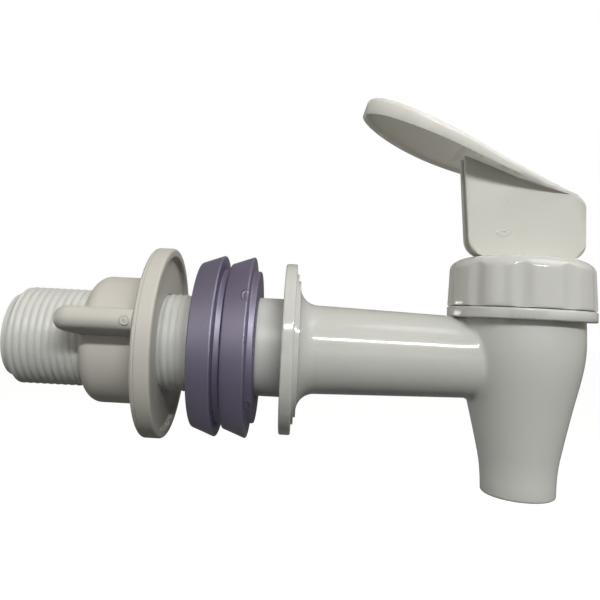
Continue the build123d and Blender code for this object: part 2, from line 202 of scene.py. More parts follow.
pale = bpy.data.materials.new("pale_floor")
pale.use_nodes = True
tree = pale.node_tree
surface = tree.nodes["Principled BSDF"]
surface.inputs["Roughness"].default_value = FLOOR_ROUGHNESS
surface.inputs["Specular IOR Level"].default_value = 0.0
seen = seen_directly(tree, MIRRORED_FLOOR)
paint = mixed(tree, seen, grey(FLOOR_GREY), grey(FLOOR_WHITE))
put(tree, paint, surface.inputs["Base Color"])
glow = node(tree, "ShaderNodeEmission", {"Color": grey(1), "Strength": FLOOR_GLOW})
glow_share = math_node(tree, "MULTIPLY", seen, 1 - SHADOW_SHARE)
shaders = {0: glow_share, 1: surface.outputs[0], 2: glow.outputs[0]}
blend = node(tree, "ShaderNodeMixShader", shaders)
put(tree, blend.outputs[0], tree.nodes["Material Output"].inputs["Surface"])
floor_mesh.materials.append(pale)
print("floor at", round(floor_z / MM), "mm")

# %% The sky
SKY_LIGHT = 0.2
SKY_WARMTH = (1.12, 1.0, 0.82)

world = bpy.data.worlds.new("studio")
bpy.context.scene.world = world
world.use_nodes = True
tree = world.node_tree
sky = tree.nodes["Background"]
seen = seen_directly(tree, MIRRORED_SKY)
put(tree, mixed(tree, seen, (*SKY_WARMTH, 1), grey(1)), sky.inputs["Color"])
shown = math_node(tree, "MULTIPLY", seen, 1 - SKY_LIGHT)
put(tree, math_node(tree, "ADD", shown, SKY_LIGHT), sky.inputs["Strength"])
print("sky strength for the object:", SKY_LIGHT)

# %% [markdown]
# ## Lamps
# Two things in the picture tell where the main lamp stood. The bright streak lies a little
# above the middle of the tube, and the lever's tray throws a shadow with a crisp edge on the
# web. Both fit a long narrow lamp in front, thirty degrees up. A soft ceiling lamp brightens
# what faces up. Two low lamps stand for the light that a table sends back, one in front and
# one behind, which reaches the underside of the tray. A soft lamp at the left fills the
# sides of the barrel and the nut. A lamp's brightness is given for each square metre, because
# that alone sets how bright its streak on the plastic looks.

# %% Hang the lamps
middle = (cad_low + cad_high) / 2
# name, place in metres, width and height in metres, brightness
LAMPS = (
    ("front_strip", (0.09, -0.43, 0.26), (0.32, 0.02), 95),
    ("ceiling", (0.36, -0.05, 0.62), (0.5, 0.5), 2.2),
    ("low_front", (0.1, -0.60, -0.01), (0.7, 0.15), 0.6),
    ("low_back", (-0.4, 0.30, -0.02), (0.3, 0.1), 6.5),
    ("left", (-0.42, -0.36, 0.18), (0.2, 0.3), 1.6),
)
for name, lamp_place, (width, height), brightness in LAMPS:
    lamp_data = bpy.data.lights.new(name, "AREA")
    lamp_data.shape = "RECTANGLE"
    lamp_data.size = width
    lamp_data.size_y = height
    lamp_data.energy = brightness * pi * width * height
    lamp = into_scene(name, lamp_data)
    lamp.location = lamp_place
    lamp.rotation_euler = (middle - Vector(lamp_place)).to_track_quat("-Z", "Y").to_euler()
print("lamps:", len(LAMPS))

# %% [markdown]
# ## Finishes
# Every piece is moulded, and a mould leaves a skin that is never quite even: faint clouds in
# the colour, a fine grain, and tiny specks. An image could show that, but it would stretch
# on round forms. One node group gives all three, so that each material only says how strong
# they are. It works on Object coordinates, in metres, so the grain keeps its size on every
# piece.

# %% A group with named inputs and outputs
COLOUR = "NodeSocketColor"
NUMBER = "NodeSocketFloat"
VECTOR = "NodeSocketVector"


def add_sockets(tree, direction, rows):
    for label, kind, *value in rows:
        socket = tree.interface.new_socket(name=label, in_out=direction, socket_type=kind)
        if value:
            socket.default_value = value[0]


def new_group(name, kind, inputs, outputs):
    tree = bpy.data.node_groups.new(name, kind)
    add_sockets(tree, "OUTPUT", outputs)
    add_sockets(tree, "INPUT", inputs)
    return tree, node(tree, "NodeGroupInput").outputs, node(tree, "NodeGroupOutput").inputs


skin, skin_given, skin_result = new_group(
    "moulded_skin",
    "ShaderNodeTree",
    inputs=(
        ("Plain Color", COLOUR, (0.6, 0.6, 0.6, 1)),
        ("Cloud Color", COLOUR, (0.5, 0.5, 0.5, 1)),
        ("Speck Color", COLOUR, (0.2, 0.2, 0.2, 1)),
        ("Cloud Size", NUMBER, 0.012),
        ("Grain Size", NUMBER, 0.0004),
        ("Speck Share", NUMBER, 0.1),
        ("Least Roughness", NUMBER, 0.2),
        ("Most Roughness", NUMBER, 0.3),
    ),
    outputs=(("Color", COLOUR), ("Roughness", NUMBER), ("Height", NUMBER)),
)
print("group", skin.name, "takes", len(skin_given) - 1, "values")

# %% Clouds and grain of the moulded skin
CLOUD_DETAIL = 3.0
GRAIN_DETAIL = 2.0
skin_place = node(skin, "ShaderNodeTexCoord").outputs["Object"]


def noise(size, detail):
    scale = math_node(skin, "DIVIDE", 1.0, size)
    inputs = {"Vector": skin_place, "Scale": scale, "Detail": detail}
    return node(skin, "ShaderNodeTexNoise", inputs).outputs["Fac"]


clouds = noise(skin_given["Cloud Size"], CLOUD_DETAIL)
clouded = mixed(skin, clouds, skin_given["Plain Color"], skin_given["Cloud Color"])
roughness_range = {
    "Value": clouds,
    "To Min": skin_given["Least Roughness"],
    "To Max": skin_given["Most Roughness"],
}
spread = node(skin, "ShaderNodeMapRange", roughness_range)
put(skin, spread.outputs["Result"], skin_result["Roughness"])
put(skin, noise(skin_given["Grain Size"], GRAIN_DETAIL), skin_result["Height"])
print("clouds and grain use", len(skin.nodes), "nodes")

# %% Specks of the moulded skin
SPECK_SPACING = 2.6 * MM
SPECK_RADIUS = 0.035
cells = node(skin, "ShaderNodeTexVoronoi", {"Vector": skin_place, "Scale": 1 / SPECK_SPACING})
near_point = math_node(skin, "LESS_THAN", cells.outputs["Distance"], SPECK_RADIUS)
cell_number = node(skin, "ShaderNodeSeparateColor", {0: cells.outputs["Color"]}).outputs[0]
chosen = math_node(skin, "LESS_THAN", cell_number, skin_given["Speck Share"])
speck = math_node(skin, "MULTIPLY", near_point, chosen)
put(skin, mixed(skin, speck, clouded, skin_given["Speck Color"]), skin_result["Color"])
print("group", skin.name, "has", len(skin.nodes), "nodes")


# %% A helper for one moulded material, with its sizes in millimetres
def moulded(name, plain, cloud, speck, cloud_size, grain_size, speck_share, roughness, bump):
    material = bpy.data.materials.new(name)
    material.use_nodes = True
    tree = material.node_tree
    shader = tree.nodes["Principled BSDF"]
    values = {
        "Plain Color": (*plain, 1),
        "Cloud Color": (*cloud, 1),
        "Speck Color": (*speck, 1),
        "Cloud Size": cloud_size * MM,
        "Grain Size": grain_size * MM,
        "Speck Share": speck_share,
        "Least Roughness": roughness[0],
        "Most Roughness": roughness[1],
    }
    use = node(tree, "ShaderNodeGroup", values, node_tree=skin).outputs
    raised = node(tree, "ShaderNodeBump", {"Height": use["Height"], "Distance": bump * MM})
    put(tree, use["Color"], shader.inputs["Base Color"])
    put(tree, use["Roughness"], shader.inputs["Roughness"])
    put(tree, raised.outputs["Normal"], shader.inputs["Normal"])
    print("made", name)
    return material, shader


def let_light_in(shader, weight, depth, colour=(1.0, 1.0, 1.0)):
    shader.inputs["Subsurface Weight"].default_value = weight
    shader.inputs["Subsurface Radius"].default_value = colour
    shader.inputs["Subsurface Scale"].default_value = depth * MM


print("helpers for materials: moulded, let_light_in")

# %% [markdown]
# ### Marks left by the mould
# A mould leaves small raised rings, dots and parting lines. They could be cut into the mesh,
# but they are so low that a bump shows the same. Each is a soft ellipsoid around one point:
# its shell is a ring where it meets the surface, its inside is a dot, and one that is thin
# along a single axis is a line. A second node group gives all of these.

# %% A group for raised rings, dots and lines
mark, mark_given, mark_result = new_group(
    "mould_mark",
    "ShaderNodeTree",
    inputs=(
        ("Centre", VECTOR, (0, 0, 0)),
        ("Reach", VECTOR, (0.001, 0.001, 0.001)),
        ("Line Share", NUMBER, 0.3),
    ),
    outputs=(("Ring", NUMBER), ("Dot", NUMBER)),
)


def mark_vector(operation, first, second=(0, 0, 0)):
    inputs = {0: first, 1: second}
    return node(mark, "ShaderNodeVectorMath", inputs, operation=operation).outputs


mark_place = node(mark, "ShaderNodeTexCoord").outputs["Object"]
away = mark_vector("SUBTRACT", mark_place, mark_given["Centre"])[0]
shrunk = mark_vector("DIVIDE", away, mark_given["Reach"])[0]
far = mark_vector("LENGTH", shrunk)["Value"]
off_shell = math_node(mark, "ABSOLUTE", math_node(mark, "SUBTRACT", far, 1.0))
line = math_node(mark, "DIVIDE", off_shell, mark_given["Line Share"])
put(mark, math_node(mark, "SUBTRACT", 1.0, line, clamp=True), mark_result["Ring"])
put(mark, math_node(mark, "SUBTRACT", 1.0, far, clamp=True), mark_result["Dot"])
print("group", mark.name, "has", len(mark.nodes), "nodes")


# %% Raise a list of marks on one material
def add_marks(material, shader, marks, height):
    tree = material.node_tree
    total = 0.0
    for centre, reach, line_share, form in marks:
        values = {"Centre": Vector(centre) * MM, "Reach": Vector(reach) * MM}
        values["Line Share"] = line_share
        use = node(tree, "ShaderNodeGroup", values, node_tree=mark)
        total = math_node(tree, "ADD", total, use.outputs[form])
    grain = shader.inputs["Normal"].links[0].from_socket
    bump = {"Height": total, "Distance": height * MM, "Normal": grain}
    raised = node(tree, "ShaderNodeBump", bump)
    put(tree, raised.outputs["Normal"], shader.inputs["Normal"])
    print(material.name, "has", len(marks), "marks")


print("a mark is a Ring or a Dot, with its sizes in mm")

# %% [markdown]
# ### The spout's plastic
# Shank, flange, tube, spout and cap are a glossy, faintly greenish pale grey plastic. A low
# roughness gives the sharp streak of the lamp, and a little light that enters the plastic
# softens its shadows. The shank behind the flange comes from a rougher side of the mould and
# is matt, so the roughness changes at that place along the shank.

# %% Body plastic, matt behind the flange
DUST = (0.16, 0.15, 0.13)
SHANK_ROUGHNESS = 0.42
SHANK_EDGE = 0.2 * MM

body_plastic, shader = moulded(
    "body_plastic",
    plain=(0.6, 0.607, 0.575),
    cloud=(0.57, 0.582, 0.555),
    speck=DUST,
    cloud_size=22,
    grain_size=0.5,
    speck_share=0.02,
    roughness=(0.09, 0.14),
    bump=0.004,
)
let_light_in(shader, weight=0.3, depth=1.6)
tree = body_plastic.node_tree
body_place = node(tree, "ShaderNodeTexCoord").outputs["Object"]
along_tube = node(tree, "ShaderNodeSeparateXYZ", {0: body_place}).outputs["X"]
behind_flange = math_node(tree, "LESS_THAN", along_tube, -SHANK_EDGE)
polish = shader.inputs["Roughness"].links[0].from_socket
matt = mixed(tree, behind_flange, polish, SHANK_ROUGHNESS, "FLOAT")
put(tree, matt, shader.inputs["Roughness"])
print("body plastic is matt below x =", -SHANK_EDGE / MM, "mm")

# %% [markdown]
# ### The lever's plastic
# The lever is the same plastic, less polished. Its tray is so thin that light shines
# through, and a strong, deep subsurface gives that glow. The tray's colour is also painted a
# little lighter than the web's: painted light that brightens its shaded underside. The web
# below is thick and stays greyer. It bears the ring of the gate, where the plastic flowed in,
# and a few small dots.
# One material could not be thin and thick, so the lever gets two.

# %% Tray and web plastic
# the tray's plain colour is lighter than the web's: painted light for its shaded underside
tray_plastic, shader = moulded(
    "tray_plastic",
    plain=(0.68, 0.68, 0.635),
    cloud=(0.61, 0.612, 0.575),
    speck=DUST,
    cloud_size=22,
    grain_size=0.5,
    speck_share=0.03,
    roughness=(0.2, 0.26),
    bump=0.004,
)
let_light_in(shader, weight=0.9, depth=5.0, colour=(1.0, 0.97, 0.92))
web_plastic, shader = moulded(
    "web_plastic",
    plain=(0.63, 0.632, 0.585),
    cloud=(0.61, 0.608, 0.56),
    speck=DUST,
    cloud_size=22,
    grain_size=0.5,
    speck_share=0.03,
    roughness=(0.26, 0.34),
    bump=0.004,
)
let_light_in(shader, weight=0.3, depth=1.2)
# centre in mm, reach in mm, width of the line as a share of the reach, form
WEB_MARKS = (
    ((41.1, -2.1, 24.0), (1.1, 2.0, 0.5), 0.35, "Ring"),
    ((42.1, -2.1, 24.4), (0.55, 2.0, 0.35), 0.5, "Ring"),
    ((40.6, -2.1, 24.0), (0.25, 1.0, 0.25), 0.5, "Dot"),
    ((44.3, -2.1, 23.0), (0.2, 1.0, 0.2), 0.5, "Dot"),
    ((41.3, -2.1, 31.0), (0.3, 1.0, 0.16), 0.5, "Dot"),
    ((41.9, -2.1, 30.3), (0.14, 1.0, 0.3), 0.5, "Dot"),
    ((48.5, -2.1, 30.6), (0.16, 1.0, 0.16), 0.5, "Dot"),
)
WEB_MARK_HEIGHT = 0.09
add_marks(web_plastic, shader, WEB_MARKS, WEB_MARK_HEIGHT)

# %% [markdown]
# ### The nut's and the stem's plastic
# The nut comes from a matt mould and is a warmer grey, with a deeper grain and more specks.
# It bears two rings and the parting line around its rim, where the two halves of the mould
# met: the last mark of the list is so wide and so thin that only this line is left of it.
# The stem is plain white plastic, which hardly shows.

# %% Nut and stem plastic
nut_plastic, shader = moulded(
    "nut_plastic",
    plain=(0.55, 0.537, 0.495),
    cloud=(0.52, 0.507, 0.46),
    speck=(0.2, 0.17, 0.13),
    cloud_size=9,
    grain_size=0.35,
    speck_share=0.06,
    roughness=(0.42, 0.55),
    bump=0.02,
)
NUT_MARKS = (
    ((-26.2, -17.5, 4.1), (0.78, 2.0, 0.78), 0.28, "Ring"),
    ((-26.3, -17.5, 4.2), (0.16, 1.0, 0.5), 0.5, "Dot"),
    ((-22.5, -5.3, -10.1), (1.0, 0.85, 0.85), 0.3, "Ring"),
    ((-22.5, -7.6, -9.0), (1.0, 0.3, 0.8), 0.5, "Dot"),
    ((-24.15, 0.0, 0.0), (0.07, 40.0, 40.0), 0.5, "Dot"),
)
NUT_MARK_HEIGHT = 0.12
add_marks(nut_plastic, shader, NUT_MARKS, NUT_MARK_HEIGHT)
stem_plastic, shader = moulded(
    "stem_plastic",
    plain=(0.72, 0.71, 0.67),
    cloud=(0.68, 0.67, 0.62),
    speck=(0.3, 0.3, 0.3),
    cloud_size=8,
    grain_size=0.4,
    speck_share=0.0,
    roughness=(0.3, 0.4),
    bump=0.006,
)

# %% [markdown]
# ### Rubber
# The gaskets are soft violet rubber, a little clear. They look pale in one broad band and
# dark above and below it. They could be made clear, so that light goes in and comes out
# again, but then they look flat. Here a dark, deep base carries a broad sheen
# instead: a high index of refraction, tinted violet, sends the lamps' light back from a
# rough skin. The valve cup is milky silicone, made in the same way as the plastics.

# %% Gasket and valve rubber
gasket_rubber, shader = moulded(
    "gasket_rubber",
    plain=(0.03, 0.022, 0.085),
    cloud=(0.02, 0.014, 0.06),
    speck=(0.2, 0.18, 0.3),
    cloud_size=5,
    grain_size=0.9,
    speck_share=0.10,
    roughness=(0.46, 0.6),
    bump=0.012,
)
let_light_in(shader, weight=0.5, depth=2.0, colour=(1.0, 0.9, 1.2))
shader.inputs["IOR"].default_value = 3.5
shader.inputs["Specular Tint"].default_value = (0.89, 0.85, 1.0, 1)
GASKET_MARKS = (
    ((-6.5, -14.2, 9.3), (0.7, 2.0, 0.9), 0.3, "Ring"),
    ((-6.3, -14.2, 8.8), (0.2, 1.2, 0.5), 0.5, "Dot"),
    ((-5.5, -10.7, -9.7), (0.5, 2.0, 0.9), 0.4, "Ring"),
)
GASKET_MARK_HEIGHT = 0.12
add_marks(gasket_rubber, shader, GASKET_MARKS, GASKET_MARK_HEIGHT)
seat_rubber, shader = moulded(
    "seat_rubber",
    plain=(0.6, 0.6, 0.58),
    cloud=(0.56, 0.56, 0.54),
    speck=(0.4, 0.4, 0.4),
    cloud_size=6,
    grain_size=0.5,
    speck_share=0.0,
    roughness=(0.4, 0.5),
    bump=0.006,
)

# %% [markdown]
# ### Spring steel
# The spring is drawn steel wire, so the same skin serves as its fine drawing marks, on a
# metal. Each loaded solid then gets its finish. A solid that a richer piece replaces further
# down is dressed too, so that no plain piece is left whatever is hidden.

# %% Spring steel, and a finish for each solid
spring_steel, shader = moulded(
    "spring_steel",
    plain=(0.55, 0.55, 0.56),
    cloud=(0.48, 0.48, 0.49),
    speck=(0.2, 0.2, 0.2),
    cloud_size=3,
    grain_size=0.1,
    speck_share=0.0,
    roughness=(0.2, 0.32),
    bump=0.002,
)
shader.inputs["Metallic"].default_value = 1.0
FINISHES = {
    "body": body_plastic,
    "cap": body_plastic,
    "lever": web_plastic,
    "stem": stem_plastic,
    "spring": spring_steel,
    "seat_cup": seat_rubber,
    "gasket_front": gasket_rubber,
    "gasket_back": gasket_rubber,
    "wing_nut": nut_plastic,
}


def dress(piece, material):
    piece.data.materials.clear()
    piece.data.materials.append(material)


for name, material in FINISHES.items():
    dress(nodes[name], material)
print("dressed", len(FINISHES), "solids")

# %% [markdown]
# ## The thread
# The shank is a three-quarter inch pipe thread, moulded with round crests and narrow
# grooves. The solid is a plain cylinder at the crests, because a cut thread would give it
# thousands of small faces. A thread follows a rule: its radius depends only on the place
# along the shank and the angle around it. So Geometry Nodes wrap a flat grid into a tube and
# give each point that radius. A second, plain grid closes the tube inside, where the shank's
# core hides it.

# %% Read the shank from the frame
THREAD_PITCH = 1.337 * MM
THREAD_CREST = 9.2 * MM
THREAD_DEPTH = 0.28 * MM
THREAD_ROUNDNESS = 1.8
THREAD_FACETS = 120
STEPS_PER_TURN = 9
CORE_RADIUS = 8.55 * MM
PILOT_LENGTH = 1.3 * MM
THREAD_END = -6.1 * MM
thread_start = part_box("body")[0].x + PILOT_LENGTH
turns = (THREAD_END - thread_start) / THREAD_PITCH
print("thread from", round(thread_start / MM, 1), "to", round(THREAD_END / MM, 1), "mm")
print("turns of thread:", round(turns, 1))

# %% Start and end of a tree that makes a shape
GEOMETRY = "NodeSocketGeometry"
WHOLE = "NodeSocketInt"
MATERIAL = "NodeSocketMaterial"


def geometry_tree(name, inputs):
    inputs = (*inputs, ("Finish", MATERIAL))
    return new_group(name, "GeometryNodeTree", inputs, (("Geometry", GEOMETRY),))


def own_place(tree):
    place = node(tree, "GeometryNodeInputPosition").outputs[0]
    return node(tree, "ShaderNodeSeparateXYZ", {0: place}).outputs


def moved_to(tree, shape, x, y, z):
    place = node(tree, "ShaderNodeCombineXYZ", {"X": x, "Y": y, "Z": z}).outputs[0]
    inputs = {"Geometry": shape, "Position": place}
    return node(tree, "GeometryNodeSetPosition", inputs).outputs[0]


def end_tree(tree, given, result, shape):
    smooth = node(tree, "GeometryNodeSetShadeSmooth", {"Geometry": shape}).outputs[0]
    real = node(tree, "GeometryNodeRealizeInstances", {0: smooth}).outputs[0]
    inputs = {"Geometry": real, "Material": given["Finish"]}
    put(tree, node(tree, "GeometryNodeSetMaterial", inputs).outputs[0], result["Geometry"])
    print("tree", tree.name, "has", len(tree.nodes), "nodes")


print("helpers for shapes: geometry_tree, own_place, moved_to, end_tree")


# %% Wrap a flat grid into a tube along X
def wrapped_grid(tree, given, columns, radius_of):
    sums = partial(math_node, tree)
    inputs = {
        "Size X": sums("SUBTRACT", given["End"], given["Start"]),
        "Size Y": 1.0,
        "Vertices X": columns,
        "Vertices Y": sums("ADD", given["Facets"], 1.0),
    }
    grid = node(tree, "GeometryNodeMeshGrid", inputs)
    flat = own_place(tree)
    centre = sums("MULTIPLY", sums("ADD", given["Start"], given["End"]), 0.5)
    along = sums("ADD", flat["X"], centre)
    turn = sums("ADD", flat["Y"], 0.5)
    angle = sums("MULTIPLY", turn, 2 * pi)
    radius = radius_of(along, turn)
    sideways = sums("MULTIPLY", radius, sums("COSINE", angle))
    upwards = sums("MULTIPLY", radius, sums("SINE", angle))
    return moved_to(tree, grid.outputs["Mesh"], along, sideways, upwards)


print("facets around the shank:", THREAD_FACETS)

# %% The thread's radius at each place
thread_tree, thread_given, thread_result = geometry_tree(
    "pipe_thread",
    (
        ("Start", NUMBER, -0.05),
        ("End", NUMBER, -0.006),
        ("Pitch", NUMBER, 0.0013),
        ("Crest Radius", NUMBER, 0.0092),
        ("Depth", NUMBER, 0.0004),
        ("Core Radius", NUMBER, 0.0085),
        ("Roundness", NUMBER, 2.2),
        ("Steps", WHOLE, 300),
        ("Facets", WHOLE, 120),
    ),
)
thread_sums = partial(math_node, thread_tree)


def thread_radius_at(along, turn):
    travel = thread_sums("DIVIDE", along, thread_given["Pitch"])
    phase = thread_sums("FRACT", thread_sums("SUBTRACT", travel, turn))
    swing = thread_sums("SUBTRACT", thread_sums("MULTIPLY", phase, 2.0), 1.0)
    off_crest = thread_sums("ABSOLUTE", swing)
    drop = thread_sums("POWER", off_crest, thread_given["Roundness"])
    groove = thread_sums("MULTIPLY", drop, thread_given["Depth"])
    plain = thread_sums("SUBTRACT", thread_given["Crest Radius"], groove)
    from_start = thread_sums("SUBTRACT", along, thread_given["Start"])
    from_end = thread_sums("SUBTRACT", thread_given["End"], along)
    nearest_end = thread_sums("MINIMUM", from_start, from_end)
    lead_in = thread_sums("ADD", thread_given["Core Radius"], nearest_end)
    return thread_sums("MINIMUM", plain, lead_in)


def core_radius_at(along, turn):
    return thread_given["Core Radius"]


print("tree", thread_tree.name, "takes", len(thread_given) - 1, "values")

# %% Join the outside and the inside of the thread
WELD_DISTANCE = 0.001 * MM
outside = wrapped_grid(thread_tree, thread_given, thread_given["Steps"], thread_radius_at)
inside = wrapped_grid(thread_tree, thread_given, 2, core_radius_at)
turned_over = node(thread_tree, "GeometryNodeFlipFaces", {0: inside})
together = node(thread_tree, "GeometryNodeJoinGeometry", {0: outside})
put(thread_tree, turned_over.outputs[0], together.inputs[0])
welding = {"Geometry": together.outputs[0], "Distance": WELD_DISTANCE}
welded = node(thread_tree, "GeometryNodeMergeByDistance", welding)
end_tree(thread_tree, thread_given, thread_result, welded.outputs[0])


# %% Run a tree on a piece and keep a plain mesh
def grow(piece, tree, sizes, material):
    modifier = piece.modifiers.new("grow", "NODES")
    modifier.node_group = tree
    inputs = [item for item in tree.interface.items_tree if item.in_out == "INPUT"]
    identifiers = {item.name: item.identifier for item in inputs}
    for label, value in {**sizes, "Finish": material}.items():
        modifier[identifiers[label]] = value
    grown = piece.evaluated_get(bpy.context.evaluated_depsgraph_get())
    finished = bpy.data.meshes.new_from_object(grown)
    blank = piece.data
    piece.modifiers.remove(modifier)
    piece.data = finished
    bpy.data.meshes.remove(blank)
    finished.name = piece.name
    print(piece.name, "has", len(finished.polygons), "faces")


thread = into_scene("shank_thread", bpy.data.meshes.new("shank_thread"))
thread_sizes = {
    "Start": thread_start,
    "End": THREAD_END,
    "Pitch": THREAD_PITCH,
    "Crest Radius": THREAD_CREST,
    "Depth": THREAD_DEPTH,
    "Core Radius": CORE_RADIUS,
    "Roundness": THREAD_ROUNDNESS,
    "Steps": int(turns * STEPS_PER_TURN),
    "Facets": THREAD_FACETS,
}
grow(thread, thread_tree, thread_sizes, body_plastic)
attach(thread, "faucet_body")

# %% [markdown]
# ### The core of the shank
# The thread needs something solid under it. The core is a copy of the body's own mesh, with
# only the thread's cylinder drawn in to the foot of the grooves, so that collar, flange and
# spout stay as the solid has them. The copy is merged first, because a loaded solid comes as
# loose triangles.

# %% Draw the shank in under the thread
CREST_SLACK = 0.05 * MM
MERGE_DISTANCE = 0.0005 * MM


def merged_copy(name, source):
    piece = into_scene(name, source.data.copy())
    shape = bmesh.new()
    shape.from_mesh(piece.data)
    bmesh.ops.remove_doubles(shape, verts=shape.verts, dist=MERGE_DISTANCE)
    shape.to_mesh(piece.data)
    shape.free()
    print(name, "has", len(piece.data.vertices), "points")
    return piece


body_shell = merged_copy("body_shell", nodes["body"])
drawn_in = 0
for vertex in body_shell.data.vertices:
    reach = Vector((0, vertex.co.y, vertex.co.z)).length
    on_thread = vertex.co.x < THREAD_END + CREST_SLACK
    if on_thread and reach > THREAD_CREST - CREST_SLACK:
        scale = (CORE_RADIUS + 2 * CREST_SLACK) / reach
        vertex.co.y *= scale
        vertex.co.z *= scale
        drawn_in += 1
print("moved", drawn_in, "points of the shank")
dress(body_shell, body_plastic)
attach(body_shell, "faucet_body")
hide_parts("body")

# %% [markdown]
# ## The cap
# A cap that hands tighten has shallow hollows for the fingers. In the moulding they melt
# into the skirt without an edge, and they run out where the shoulder rounds over. Ten cuts
# with a round tool would leave sharp edges. One rule gives both instead: no point may lie
# further out than the skirt less the hollow's depth at its angle. A smooth cap is turned
# from its profile first, and a small node tree applies that rule.


# %% Turn a closed profile about an upright axis
def turned(name, profile, centre_x, facets):
    points = []
    for step in range(facets):
        angle = 2 * pi * step / facets
        for radius, height in profile:
            points.append((centre_x + radius * cos(angle), radius * sin(angle), height))
    count = len(profile)
    faces = []
    for step in range(facets):
        near, far = step * count, (step + 1) % facets * count
        for index in range(count):
            after = (index + 1) % count
            faces.append((near + index, far + index, far + after, near + after))
    mesh = bpy.data.meshes.new(name)
    mesh.from_pydata(points, [], faces)
    shape = bmesh.new()
    shape.from_mesh(mesh)
    bmesh.ops.recalc_face_normals(shape, faces=shape.faces)
    shape.to_mesh(mesh)
    shape.free()
    print(name, "is turned from", count, "points in", facets, "facets")
    return into_scene(name, mesh)


print("helper for round pieces: turned")

# %% The sizes of the cap
cap_low_corner, cap_high_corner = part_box("cap")
SPOUT_X = (cap_low_corner.x + cap_high_corner.x) / 2
CAP_FOOT = cap_low_corner.z
CAP_TOP = cap_high_corner.z
CAP_RADIUS = 13.52 * MM
CAP_DRAFT = radians(2.3)
CAP_FACETS = 360
SHOULDER_WIDTH, SHOULDER_HEIGHT = 5.0 * MM, 2.6 * MM
FOOT_ROUND = 0.3 * MM
SKIRT_INSIDE = 11.1 * MM
GUIDE_RADIUS = 2.3 * MM
HUB_RADIUS, HUB_LENGTH = 3.4 * MM, 3.0 * MM
CAP_CEILING = 16.9 * MM
print("the cap stands at x", round(SPOUT_X / MM, 2), "mm")

# %% Round foot, leaning skirt, round shoulder, hollow inside
FOOT_STEPS, SKIRT_STEPS, SHOULDER_STEPS = 5, 12, 18
skirt_foot = CAP_FOOT + FOOT_ROUND
shoulder_z = CAP_TOP - SHOULDER_HEIGHT
profile = []
for step in range(FOOT_STEPS + 1):
    angle = radians(270 + 90 * step / FOOT_STEPS)
    across = CAP_RADIUS - FOOT_ROUND + FOOT_ROUND * cos(angle)
    profile.append((across, skirt_foot + FOOT_ROUND * sin(angle)))
for step in range(1, SKIRT_STEPS + 1):
    height = skirt_foot + (shoulder_z - skirt_foot) * step / SKIRT_STEPS
    profile.append((CAP_RADIUS - (height - skirt_foot) * tan(CAP_DRAFT), height))
shoulder_radius = profile[-1][0]
for step in range(1, SHOULDER_STEPS + 1):
    angle = radians(90 * step / SHOULDER_STEPS)
    across = shoulder_radius - SHOULDER_WIDTH + SHOULDER_WIDTH * cos(angle)
    profile.append((across, shoulder_z + SHOULDER_HEIGHT * sin(angle)))
hub_foot = CAP_CEILING - HUB_LENGTH
profile += [(GUIDE_RADIUS, CAP_TOP), (GUIDE_RADIUS, hub_foot)]
profile += [(HUB_RADIUS, hub_foot), (HUB_RADIUS, CAP_CEILING)]
profile += [(SKIRT_INSIDE, CAP_CEILING), (SKIRT_INSIDE, CAP_FOOT)]
fluted_cap = turned("fluted_cap", profile, SPOUT_X, CAP_FACETS)

# %% How deep the hollow is at each angle
hollow_tree, hollow_given, hollow_result = geometry_tree(
    "finger_hollows",
    (
        ("Geometry", GEOMETRY),
        ("Centre X", NUMBER, 0.045),
        ("Foot", NUMBER, 0.01),
        ("Foot Radius", NUMBER, 0.0135),
        ("Lean", NUMBER, 0.04),
        ("Count", NUMBER, 10.0),
        ("Depth", NUMBER, 0.0004),
        ("Half Width", NUMBER, 0.002),
        ("First Turn", NUMBER, 0.0),
    ),
)
hollow_sums = partial(math_node, hollow_tree)
place = own_place(hollow_tree)
side_x = hollow_sums("SUBTRACT", place["X"], hollow_given["Centre X"])
side_y = place["Y"]
squares = [hollow_sums("MULTIPLY", side, side) for side in (side_x, side_y)]
reach = hollow_sums("SQRT", hollow_sums("ADD", *squares))
turn = hollow_sums("DIVIDE", hollow_sums("ARCTAN2", side_y, side_x), 2 * pi)
turn = hollow_sums("SUBTRACT", turn, hollow_given["First Turn"])
beat = hollow_sums("ADD", hollow_sums("MULTIPLY", turn, hollow_given["Count"]), 0.5)
off_middle = hollow_sums("SUBTRACT", hollow_sums("FRACT", beat), 0.5)
turned_off = hollow_sums("MULTIPLY", hollow_sums("ABSOLUTE", off_middle), 2 * pi)
arc = hollow_sums("DIVIDE", hollow_sums("MULTIPLY", turned_off, reach), hollow_given["Count"])
share = hollow_sums("DIVIDE", arc, hollow_given["Half Width"], clamp=True)
wave = hollow_sums("COSINE", hollow_sums("MULTIPLY", share, pi))
hollow = hollow_sums("MULTIPLY", hollow_sums("ADD", wave, 1.0), 0.5)
print("the hollows fade out by a cosine over their half width")

# %% Press in the points that stand too far out
above_foot = hollow_sums("SUBTRACT", place["Z"], hollow_given["Foot"])
lean = hollow_sums("MULTIPLY", above_foot, hollow_given["Lean"])
skirt = hollow_sums("SUBTRACT", hollow_given["Foot Radius"], lean)
dent = hollow_sums("MULTIPLY", hollow, hollow_given["Depth"])
limit = hollow_sums("SUBTRACT", skirt, dent)
scale = hollow_sums("DIVIDE", hollow_sums("MINIMUM", reach, limit), reach)
new_x = hollow_sums("ADD", hollow_sums("MULTIPLY", side_x, scale), hollow_given["Centre X"])
new_y = hollow_sums("MULTIPLY", side_y, scale)
pressed = moved_to(hollow_tree, hollow_given["Geometry"], new_x, new_y, place["Z"])
end_tree(hollow_tree, hollow_given, hollow_result, pressed)

# %% Press the hollows and put the cap in place
HOLLOW_COUNT = 10
HOLLOW_DENT = 0.42 * MM
HOLLOW_HALF_WIDTH = 2.2 * MM
FIRST_HOLLOW_DEGREES = 1.0
CAP_SHARP_FROM = radians(40)

